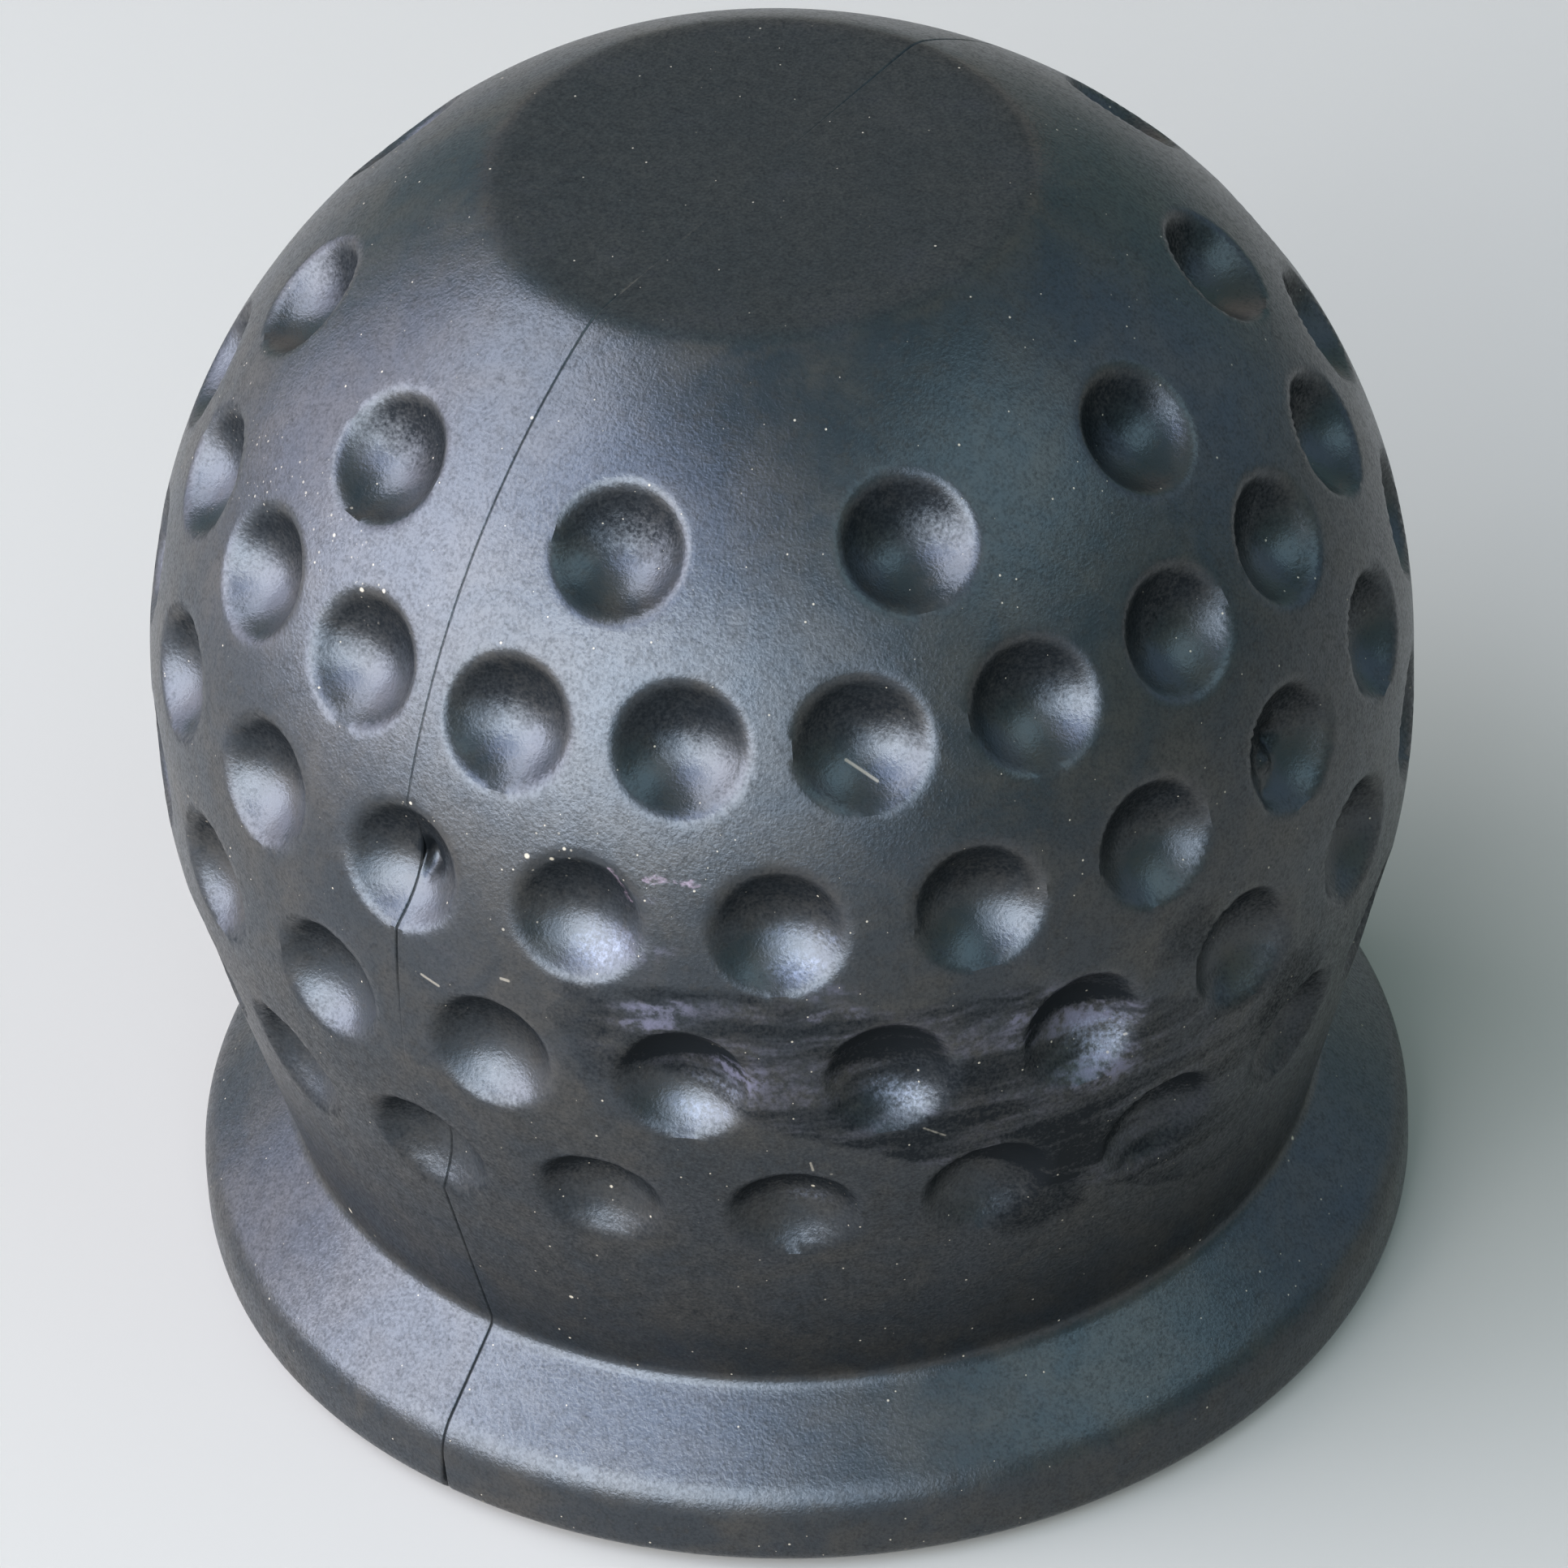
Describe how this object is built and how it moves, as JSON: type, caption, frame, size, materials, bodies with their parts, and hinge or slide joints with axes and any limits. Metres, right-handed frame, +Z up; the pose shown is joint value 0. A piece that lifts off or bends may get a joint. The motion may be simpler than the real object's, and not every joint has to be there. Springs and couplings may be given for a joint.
{
  "type": "dimpled rubber ball cap",
  "caption": "Hollow dimpled rubber cap with a flat crown and a flared foot, bonded from half shells round a soft socket liner; it pushes over a coupling ball.",
  "frame": {"origin": "centre of the foot's lower face, on the cap's axis", "axes": "+Z up along the cap's axis, out of the flat crown; the parting plane between the half shells is x = 0, and the front of the parting line is at -Y"},
  "size_m": [0.07, 0.07, 0.0698],
  "materials": {
    "shell_rubber": "satin moulded black rubber with light dust and scuffs",
    "liner_rubber": "matt softer black rubber"
  },
  "bodies": {
    "root": {"left_half": "shell_rubber", "right_half": "shell_rubber", "socket_liner": "liner_rubber"}
  },
  "joints": []
}
